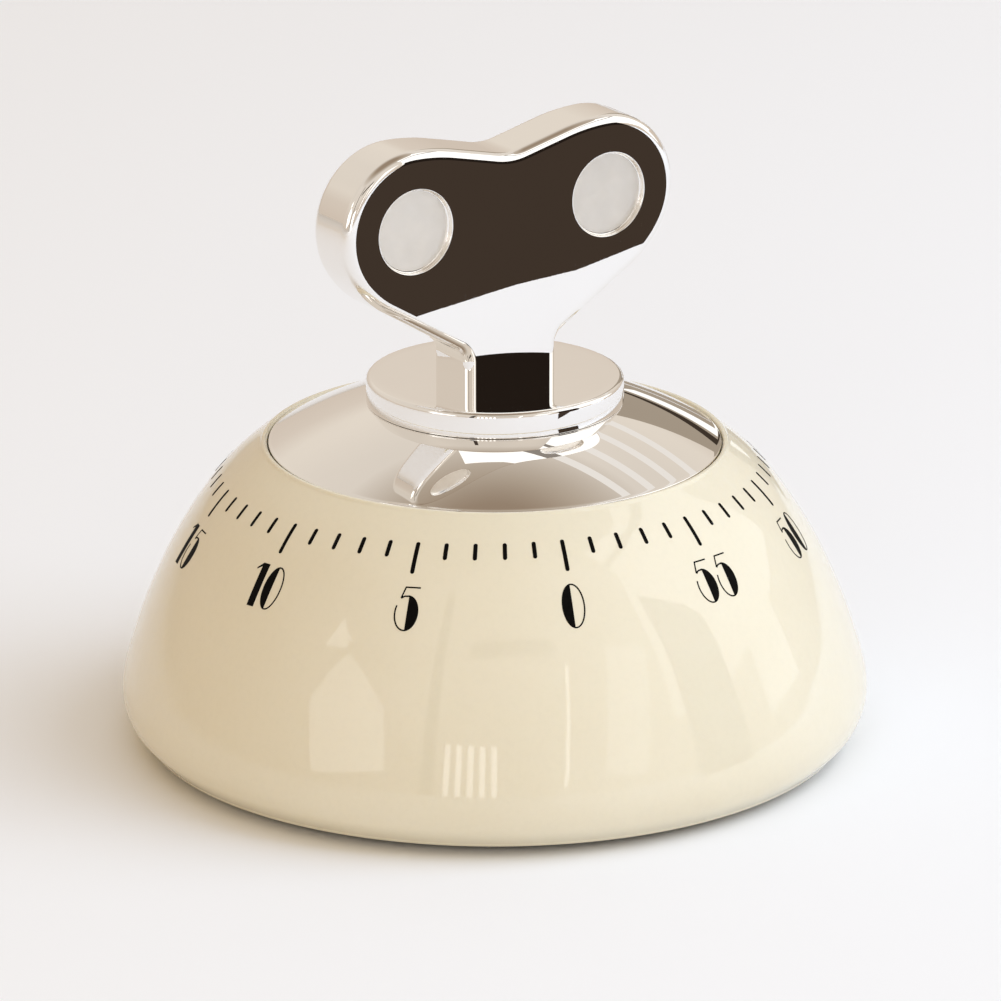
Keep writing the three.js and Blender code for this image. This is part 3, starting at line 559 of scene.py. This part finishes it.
def build_key():
    outline = key_outline()
    count = len(outline)
    side = KEY_THICKNESS / 2
    steps = 10
    strips = []  # (inset, y, weight of side normal, weight of face normal), from front to back
    for i in range(steps + 1):
        a = math.pi / 2 * i / steps
        out = side - KEY_EDGE + KEY_EDGE * math.cos(a)
        strips.append((KEY_EDGE * (1 - math.sin(a)), -out, math.sin(a), -math.cos(a)))
    strips += [(inset, -y, across, -along) for inset, y, across, along in reversed(strips)]

    verts, normals_at = [], []
    for inset, y, across, along in strips:
        for x, z, nx, nz in outline:
            verts.append((x - nx * inset, y, z - nz * inset))
            normals_at.append((nx * across, along, nz * across))
    faces, corner_normals, slots = [], [], []

    def add(face, normal=None, slot=0):
        faces.append(face)
        corner_normals.append([normal or normals_at[v] for v in face])
        slots.append(slot)

    for k in range(len(strips) - 1):
        for i in range(count - 1):
            a, b = k * count + i, k * count + i + 1
            add([a, a + count, b + count, b])
    foot_ring = [k * count for k in range(len(strips))]
    foot_ring += [k * count + count - 1 for k in reversed(range(len(strips)))]
    add(foot_ring[::-1], (0, 0, -1))

    # recess: rounded rim, wall, rounded root, flat floor; (radius, depth, radial normal, outward normal, slot)
    rim, root, floor_steps, around = RECESS_RIM, RECESS_ROOT, 6, 96
    profile = []
    for i in range(7):
        a = math.pi / 2 * i / 6
        profile.append((RECESS_RADIUS + rim * (1 - math.sin(a)), rim * (1 - math.cos(a)), -math.sin(a), math.cos(a), 0))
    for i in range(7):
        a = math.pi / 2 * i / 6
        profile.append((RECESS_RADIUS - root * (1 - math.cos(a)), RECESS_DEPTH - root * (1 - math.sin(a)),
                        -math.cos(a), math.sin(a), 0))
    floor_radius = RECESS_RADIUS - root
    for i in range(1, floor_steps + 1):
        profile.append((floor_radius * (1 - i / floor_steps), RECESS_DEPTH, 0, 1, 1))

    for direction in (-1, 1):  # front, back
        loops = []
        for cx in (-LOBE_X, LOBE_X):
            rings = []
            for r, depth, radial, out, slot in profile:
                if r < 1e-6:
                    rings.append(([len(verts)] * around, slot))
                    verts.append((cx, direction * (side - depth), LOBE_Z))
                    normals_at.append((0, direction, 0))
                    continue
                start = len(verts)
                for i in range(around):
                    a = TAU * i / around
                    c, s = math.cos(a), math.sin(a)
                    verts.append((cx + r * c, direction * (side - depth), LOBE_Z + r * s))
                    normals_at.append((radial * c, direction * out, radial * s))
                rings.append((list(range(start, start + around)), slot))
            for (outer, _), (inner, slot) in zip(rings, rings[1:]):
                for i in range(around):
                    j = (i + 1) % around
                    quad = [outer[i], outer[j], inner[j], inner[i]]
                    quad = [c for k, c in enumerate(quad) if c != quad[k - 1]]
                    add(quad if direction < 0 else quad[::-1], slot=slot)
            loops.append(rings[0][0])
        base = 0 if direction < 0 else (len(strips) - 1) * count
        border = list(range(base, base + count))
        index = border + loops[0] + loops[1]
        flat = [[Vector((verts[v][0], verts[v][2], 0)) for v in loop] for loop in (border, loops[0], loops[1])]
        for a, b, c in tessellate_polygon(flat):
            face = [index[a], index[b], index[c]]
            u, v, w = (Vector(verts[k]) for k in face)
            if (v - u).cross(w - u).y * direction < 0:
                face.reverse()
            add(face, (0, direction, 0))

    turn = Matrix.Rotation(KEY_TURN, 3, "Z")
    verts = [turn @ Vector(v) for v in verts]
    corner_normals = [[turn @ Vector(n) for n in corners] for corners in corner_normals]
    obj = new_object("key", verts, faces, corner_normals, [MAT["chrome"], MAT["satin_chrome"]], slots)
    return finish_piece(obj, "key", "winding_key")


def build_flange():
    low, high = plate_height(0) + FLANGE_LIFT, box_mm("key_flange")[1][2]
    r, e, foot = FLANGE_RADIUS, FLANGE_EDGE, FLANGE_FOOT
    rings = [FLANGE_BORE + (r - e - FLANGE_BORE) * i / 10 for i in range(11)]
    outline = [*((q, low) for q in rings[:-1]), *arc(r - foot, low + foot, foot, -90, 0, 5),
               *arc(r - e, high - e, e, 0, 90, 10), *((q, high) for q in reversed(rings[:-1]))]
    verts, faces = revolve(outline, 256)
    obj = new_object("flange", verts, faces, materials=[MAT["chrome"]], sharp=40)
    return finish_piece(obj, "key", "key_flange")


# ---- printed dial -----------------------------------------------------------------------------------

DIAL_START = 4.98  # mean distance down the dome's skin from the lip to the inner ends of the marks
SHORT_MARK, LONG_MARK, MARK_WIDTH = 1.85, 3.45, 0.42
NUMBER_TOP, NUMBER_HEIGHT = DIAL_START + 4.76, 4.55
# the print sits a little off the dome's axis: how far, towards where, its share along the skin, its twist
PRINT_SHIFT, PRINT_AWAY_FROM, PRINT_SLOPE, PRINT_TWIST = 1.07, math.radians(13), 1.45, math.radians(0.9)
INK = 0.02

SKIN = [p for p in dome_profile(0, 2000)]
SKIN_LENGTH = [0.0]
for (r0, z0), (r1, z1) in zip(SKIN[::-1], SKIN[-2::-1]):
    SKIN_LENGTH.append(SKIN_LENGTH[-1] + math.hypot(r1 - r0, z1 - z0))


def skin_at(distance):
    """(radius, height, normal's radius part, normal's height part) at a distance down the skin from the lip."""
    low, high = 0, len(SKIN_LENGTH) - 1
    while high - low > 1:
        middle = (low + high) // 2
        if SKIN_LENGTH[middle] <= distance:
            low = middle
        else:
            high = middle
    share = (distance - SKIN_LENGTH[low]) / (SKIN_LENGTH[high] - SKIN_LENGTH[low])
    (r0, z0), (r1, z1) = SKIN[-1 - low], SKIN[-1 - high]
    size = math.hypot(r1 - r0, z1 - z0)
    return r0 + (r1 - r0) * share, z0 + (z1 - z0) * share, (z0 - z1) / size, (r1 - r0) / size


def print_on_dome(verts, faces, shapes, minute, top, grid=0.45):
    """Adds flat shapes, lists of (x to the right, y down from top) in mm, to a mesh as raised ink on the dome."""
    points, polygons = [], []
    for shape in shapes:
        turn = sum(x0 * y1 - x1 * y0 for (x0, y0), (x1, y1) in zip(shape, shape[1:] + shape[:1]))
        shape = shape if turn > 0 else shape[::-1]
        first = len(points)
        for (x0, y0), (x1, y1) in zip(shape, shape[1:] + shape[:1]):
            pieces = max(1, math.ceil(math.hypot(x1 - x0, y1 - y0) / grid))
            points += [Vector((x0 + (x1 - x0) * k / pieces, y0 + (y1 - y0) * k / pieces)) for k in range(pieces)]
        polygons.append(list(range(first, len(points))))
    xs, ys = [p.x for p in points], [p.y for p in points]
    for i in range(int((max(xs) - min(xs)) / grid) + 1):
        for j in range(int((max(ys) - min(ys)) / grid) + 1):
            points.append(Vector((min(xs) + (i + 0.5) * grid, min(ys) + (j + 0.5) * grid)))
    flat, _, cells, _, _, origins = delaunay_2d_cdt(points, [], polygons, 1, 1e-5)
    triangles = [cell for cell, origin in zip(cells, origins) if origin]
    middle = math.radians(-6 * minute)
    from_shift = middle - PRINT_AWAY_FROM
    near = top - PRINT_SHIFT * PRINT_SLOPE * math.cos(from_shift)
    start_angle = middle + PRINT_TWIST + PRINT_SHIFT * math.sin(from_shift) / skin_at(near)[0]

    def on_skin(p, lift):
        r, z, nr, nz = skin_at(near + p.y - PRINT_SHIFT * PRINT_SLOPE * (
            math.cos(from_shift + p.x / skin_at(near)[0]) - math.cos(from_shift)))
        r, z = r + nr * lift, z + nz * lift
        around = start_angle + p.x / r
        return (r * math.sin(around), -r * math.cos(around), z)

    start, count = len(verts), len(flat)
    verts += [on_skin(p, INK) for p in flat] + [on_skin(p, -INK) for p in flat]
    edges = {}
    for tri in triangles:
        a, b, c = (Vector(verts[start + k]) for k in tri)
        outward = Vector((a.x, a.y, a.z))
        order = tri if (b - a).cross(c - a).dot(outward) > 0 else tri[::-1]
        faces.append([start + k for k in order])
        faces.append([start + count + k for k in reversed(order)])
        for k in range(3):
            edges[(order[k], order[(k + 1) % 3])] = True
    for a, b in edges:
        if (b, a) not in edges:
            faces.append([start + b, start + a, start + count + a, start + count + b])


def bar(x0, y0, x1, y1, width, rounded=True):
    """A straight stroke with round or square ends."""
    d = Vector((x1 - x0, y1 - y0)).normalized()
    side = Vector((-d.y, d.x)) * width / 2
    a, b = Vector((x0, y0)), Vector((x1, y1))
    if not rounded:
        return [tuple(a + side), tuple(b + side), tuple(b - side), tuple(a - side)]
    angle = math.degrees(math.atan2(side.y, side.x))
    end = arc(b.x, b.y, width / 2, angle, angle - 180, 8)
    start = arc(a.x, a.y, width / 2, angle + 180, angle, 8)
    return end + start


def stroke(points, widths):
    """A stroke through points whose width changes along it."""
    left, right = [], []
    for i, (x, y) in enumerate(points):
        before, after = points[max(0, i - 1)], points[min(len(points) - 1, i + 1)]
        d = Vector((after[0] - before[0], after[1] - before[1])).normalized()
        share = i / (len(points) - 1) * (len(widths) - 1)
        k = min(int(share), len(widths) - 2)
        half = (widths[k] + (widths[k + 1] - widths[k]) * (share - k)) / 2
        left.append((x - d.y * half, y + d.x * half))
        right.append((x + d.y * half, y - d.x * half))
    return left + right[::-1]


def half_moon(cx, cy, rx, ry, chord, right=True, steps=28):
    """Solid part of an ellipse on one side of an upright chord."""
    limit = math.acos(max(-1, min(1, (chord - cx) / rx if right else (cx - chord) / rx)))
    points = []
    for i in range(steps + 1):
        a = -limit + 2 * limit * i / steps
        x = rx * math.cos(a)
        points.append((cx + (x if right else -x), cy + ry * math.sin(a)))
    return points


def ellipse_line(cx, cy, rx, ry, start, end, width, steps=28):
    points = []
    for i in range(steps + 1):
        a = math.radians(start + (end - start) * i / steps)
        points.append((cx + (rx - width / 2) * math.cos(a), cy + (ry - width / 2) * math.sin(a)))
    return stroke(points, [width, width])


HAIR = 0.15
H = NUMBER_HEIGHT


def digit_0():
    w = 2.33
    rx, ry = w / 2, H / 2
    return w, [
        half_moon(rx, ry, rx, ry, w * 0.46, right=False),
        ellipse_line(rx, ry, rx, ry, -100, 100, HAIR),
    ]


def digit_1():
    w = 1.55
    stem = w - 0.92
    return w, [
        [(stem, 0), (w, 0), (w, H), (stem, H)],
        [(0.0, 0.62), (stem + 0.05, 0.0), (stem + 0.05, 0.36), (0.0, 0.8)],
    ]


def digit_2():
    w, bowl = 2.2, 1.2
    return w, [
        half_moon(w / 2, bowl, w / 2, bowl, w * 0.54, right=True),
        ellipse_line(w / 2, bowl, w / 2, bowl, 175, 278, HAIR),
        stroke([(w * 0.84, bowl * 1.6), (w * 0.5, H * 0.66), (w * 0.08, H - 0.2)], [0.42, 0.26, HAIR]),
        [(0.0, H - 0.4), (w, H - 0.4), (w, H), (0.0, H)],
    ]


def digit_3():
    w = 2.25
    upper, lower = H * 0.23, H * 0.29
    return w, [
        half_moon(w * 0.48, upper, w * 0.46, upper, w * 0.54, right=True),
        ellipse_line(w * 0.48, upper, w * 0.46, upper, 185, 278, HAIR),
        half_moon(w / 2, H - lower, w / 2, lower, w * 0.54, right=True),
        ellipse_line(w / 2, H - lower, w / 2, lower, 82, 175, HAIR),
        bar(w * 0.34, H * 0.44, w * 0.62, H * 0.44, HAIR),
    ]


def digit_4():
    w = 2.4
    return w, [
        [(w * 0.5, 0), (w * 0.82, 0), (w * 0.82, H), (w * 0.5, H)],
        stroke([(w * 0.52, 0.06), (0.06, H * 0.7)], [HAIR, HAIR]),
        bar(0.06, H * 0.7, w, H * 0.7, HAIR, rounded=False),
    ]


def digit_5():
    w = 2.45
    cx, cy, rx, ry = w / 2, H * 0.6, w / 2, H * 0.4
    flag = (w * 0.34, 0.09)
    knee = (w * 0.2, H * 0.27)
    return w, [
        half_moon(cx, cy, rx, ry, w * 0.53, right=True),
        ellipse_line(cx, cy, rx, ry, 80, 205, HAIR),
        stroke([flag, knee], [HAIR, HAIR]),
        bar(w * 0.32, 0.09, w * 0.94, 0.09, HAIR, rounded=False),
        stroke([knee, (w * 0.34, cy - ry * 0.94), (w * 0.56, cy - ry + 0.08)], [HAIR * 1.3, HAIR, HAIR * 1.2]),
    ]


DIGITS = {"0": digit_0, "1": digit_1, "2": digit_2, "3": digit_3, "4": digit_4, "5": digit_5}
DIGIT_GAP = 0.38


def build_marks():
    verts, faces = [], []
    for minute in range(60):
        length = LONG_MARK if minute % 5 == 0 else SHORT_MARK
        half = MARK_WIDTH / 2
        print_on_dome(verts, faces, [bar(0, half, 0, length - half, MARK_WIDTH)], minute, DIAL_START)
    obj = new_object("minute_marks", verts, faces, materials=[MAT["black_ink"]], sharp=40)
    return finish_piece(obj, "housing")


def build_numbers():
    verts, faces = [], []
    for minute in range(0, 60, 5):
        digits = [DIGITS[c]() for c in str(minute)]
        total = sum(w for w, _ in digits) + DIGIT_GAP * (len(digits) - 1)
        x = -total / 2
        for width, shapes in digits:
            placed = [[(px + x, py) for px, py in shape] for shape in shapes]
            print_on_dome(verts, faces, placed, minute, NUMBER_TOP)
            x += width + DIGIT_GAP
    obj = new_object("minute_numbers", verts, faces, materials=[MAT["black_ink"]], sharp=40)
    return finish_piece(obj, "housing")


build_dome()
build_plate()
build_flange()
build_key()
build_marks()
build_numbers()
build_cover()
build_foot()
for number in (1, 2, 3):
    build_screw(number)

for sub in frame["record"]["subparts"]:
    node = frame["nodes"][sub["node"]]
    node.data.materials.clear()
    node.data.materials.append(MAT[sub["material_slot"]])

# ---- studio -----------------------------------------------------------------------------------------


def emission(name, colour, strength):
    material = bpy.data.materials.new(name)
    material.use_nodes = True
    tree = material.node_tree
    tree.nodes.clear()
    out = tree.nodes.new("ShaderNodeOutputMaterial")
    glow = tree.nodes.new("ShaderNodeEmission")
    glow.inputs["Color"].default_value = (*colour, 1)
    glow.inputs["Strength"].default_value = strength
    tree.links.new(glow.outputs["Emission"], out.inputs["Surface"])
    return material


def card(name, corners, colour, strength=1.0):
    """A flat panel that only reflections see."""
    mesh = bpy.data.meshes.new(name)
    mesh.from_pydata([tuple(c * MM for c in p) for p in corners], [], [list(range(len(corners)))])
    mesh.materials.append(emission(name, colour, strength))
    obj = bpy.data.objects.new(name, mesh)
    bpy.context.scene.collection.objects.link(obj)
    obj.visible_camera = False
    obj.visible_diffuse = False
    obj.visible_shadow = False
    return obj


def standing_card(name, run, low, high, colour):
    """An upright panel along a run of (x, y) points on the floor."""
    for i, ((x0, y0), (x1, y1)) in enumerate(zip(run, run[1:])):
        card(f"{name}_{i + 1}", [(x0, y0, low), (x1, y1, low), (x1, y1, high), (x0, y0, high)], colour)


def far_card(name, corners, colour, strength, distance=900, centre=(0, -20, 20)):
    """A panel with four corners given as (azimuth to the right from -Y, elevation) seen from the object."""
    points = []
    for azimuth, elevation in corners:
        a, e = math.radians(azimuth), math.radians(elevation)
        way = (math.sin(a) * math.cos(e), -math.cos(a) * math.cos(e), math.sin(e))
        points.append([c + w * distance for c, w in zip(centre, way)])
    card(name, points, colour, strength)


def upright_card(name, azimuths, elevations, colour, strength, distance=900):
    (a, b), (c, d) = azimuths, elevations
    far_card(name, [(a, c), (b, c), (b, d), (a, d)], colour, strength, distance)


def build_floor():
    size = 6000
    mesh = bpy.data.meshes.new("floor")
    corners = [(-size, -size), (size, -size), (size, size), (-size, size)]
    mesh.from_pydata([(x * MM, y * MM, 0) for x, y in corners], [], [(0, 1, 2, 3)])
    material = bpy.data.materials.new("floor")
    material.use_nodes = True
    shader = material.node_tree.nodes["Principled BSDF"]
    shader.inputs["Base Color"].default_value = (0.91, 0.915, 0.925, 1)
    shader.inputs["Roughness"].default_value = 0.9
    shader.inputs["Specular IOR Level"].default_value = 0.0
    mesh.materials.append(material)
    obj = bpy.data.objects.new("floor", mesh)
    bpy.context.scene.collection.objects.link(obj)


def area_light(name, place, target, width, height, watts, colour=(1, 1, 1), glossy=True):
    data = bpy.data.lights.new(name, "AREA")
    data.shape, data.size, data.size_y = "RECTANGLE", width * MM, height * MM
    data.energy, data.color = watts, colour
    obj = bpy.data.objects.new(name, data)
    obj.location = Vector(place) * MM
    obj.rotation_mode = "QUATERNION"
    obj.rotation_quaternion = (Vector(target) - Vector(place)).to_track_quat("-Z", "Y")
    obj.visible_glossy = glossy
    bpy.context.scene.collection.objects.link(obj)
    return obj


def build_world():
    """A warm, softly lit room: lighter round the horizon, a little darker overhead."""
    world = bpy.data.worlds.new("studio")
    world.use_nodes = True
    tree = world.node_tree
    way = tree.nodes.new("ShaderNodeTexCoord").outputs["Generated"]
    split = tree.nodes.new("ShaderNodeSeparateXYZ")
    tree.links.new(way, split.inputs["Vector"])
    ramp = tree.nodes.new("ShaderNodeValToRGB")
    stops = [(0.0, (0.66, 0.565, 0.475)), (0.25, (0.71, 0.62, 0.53)), (0.4, (0.78, 0.705, 0.615)),
             (0.78, (0.76, 0.69, 0.61)), (0.92, (0.46, 0.38, 0.30)), (0.97, (0.33, 0.25, 0.18))]
    elements = ramp.color_ramp.elements
    while len(elements) < len(stops):
        elements.new(0.5)
    for element, (at, colour) in zip(elements, stops):
        element.position, element.color = at, (*colour, 1)
    tree.links.new(split.outputs["Z"], ramp.inputs["Fac"])
    drift = tree.nodes.new("ShaderNodeTexNoise")
    drift.inputs["Scale"].default_value = 1.7
    drift.inputs["Detail"].default_value = 1.5
    tree.links.new(way, drift.inputs["Vector"])
    soft = tree.nodes.new("ShaderNodeMapRange")
    soft.inputs["To Min"].default_value, soft.inputs["To Max"].default_value = 0.9, 1.1
    tree.links.new(drift.outputs["Fac"], soft.inputs["Value"])
    tree.links.new(ramp.outputs["Color"], tree.nodes["Background"].inputs["Color"])
    tree.links.new(soft.outputs["Result"], tree.nodes["Background"].inputs["Strength"])
    bpy.context.scene.world = world


def build_camera():
    data = bpy.data.cameras.new("camera")
    data.sensor_width = 36
    data.lens = 299.3
    data.clip_start, data.clip_end = 0.05, 20
    camera = bpy.data.objects.new("camera", data)
    camera.location = Vector((-195.98, -775.37, 296.2)) * MM
    camera.rotation_mode = "QUATERNION"
    camera.rotation_quaternion = (Vector((0.55, -0.14, 24.83)) * MM - camera.location).to_track_quat("-Z", "Y")
    bpy.context.scene.collection.objects.link(camera)
    bpy.context.scene.camera = camera


build_floor()
build_world()
build_camera()
area_light("key_light", (700, -250, 700), (0, 0, 20), 800, 800, 5.5, (0.82, 1.0, 1.26), glossy=False)
area_light("top_light", (0, -100, 900), (0, 0, 20), 700, 700, 1.0, (0.85, 1.0, 1.18), glossy=False)
area_light("front_fill", (-300, -800, 300), (0, 0, 20), 500, 400, 1.0, (1.0, 1.0, 0.99), glossy=False)

DARK_RUN = [(85, -98.3), (111, -95), (127, -93), (136, -90.7), (170, -90)]
standing_card("dark_low", DARK_RUN, 0.5, 45, (0.052, 0.036, 0.026))
standing_card("dark_high", DARK_RUN, 45, 110, (0.017, 0.0115, 0.0085))
NEAR_WHITE, WARM_WHITE = (1.0, 0.985, 0.96), (1.0, 0.95, 0.895)
for i in range(5):
    left = 45 + 14 * i
    upright_card(f"softbox_low_{i + 1}", (left, left + 14), (14, 38), NEAR_WHITE, 1.35)
    upright_card(f"softbox_high_{i + 1}", (left, left + 14), (38, 62), NEAR_WHITE, 1.35)
upright_card("side_wall", (80, 97), (3, 14), NEAR_WHITE, 1.3)
far_card("window", [(-70.5, 3), (-48, 9.5), (-51.5, 22), (-68.5, 27.5), (-77, 17.5)], NEAR_WHITE, 1.7)
far_card("window_top", [(-78, 26.5), (-70, 28.5), (-69.5, 31), (-76, 35)], NEAR_WHITE, 2.0)
far_card("door", [(19, 8.4), (31.8, 5), (42, 28.6), (27.4, 32.8)], NEAR_WHITE, 1.25)
far_card("gap_of_light", [(5.9, 5), (7.1, 4.7), (12.2, 31), (10.9, 31)], NEAR_WHITE, 2.8)
for i in range(5):
    left = -30 + 3.6 * i
    upright_card(f"blind_{i + 1}", (left, left + 1.7), (-1, 16), NEAR_WHITE, 3.0)
upright_card("softbox_bar", (45, 115), (50, 53), (0.3, 0.27, 0.24), 1.0, 700)
upright_card("lintel", (-24, 8), (34, 39), (0.09, 0.07, 0.055), 1.0)
upright_card("post", (-37, -33), (-3, 50), (0.06, 0.045, 0.035), 1.0, 880)
for i in range(4):
    foot = 31 + 7.5 * i
    upright_card(f"back_strip_{i + 1}", (120, 150), (foot, foot + 2.4), WARM_WHITE, 0.87)
BROWN, DARK_BROWN = (0.39, 0.325, 0.255), (0.05, 0.036, 0.026)
far_card("brown_wall", [(141, 8), (161, 8), (161, 36), (152, 28), (141, 17)], BROWN, 1.0)
upright_card("brown_shelf", (141, 161), (-1, 8), BROWN, 1.0)
upright_card("brown_sill", (141, 168), (-4, 0.5), BROWN, 1.0, 250)
far_card("back_slit", [(158, 3), (145, 3), (145, 9), (152, 7.5), (158, 6.5)], NEAR_WHITE, 1.15, 860)
far_card("back_shade", [(158, 8), (152, 8.5), (145, 11), (145, 14), (152, 11), (158, 9)], DARK_BROWN, 1.0, 860)
panel = card("warm_wall", [(-320, -300, 0), (-320, 600, 0), (-320, 600, 600), (-320, -300, 600)], (0.55, 0.38, 0.18))
panel.visible_diffuse, panel.visible_glossy = True, False

scene = bpy.context.scene
scene.view_settings.view_transform = "Standard"
scene.view_settings.look = "None"
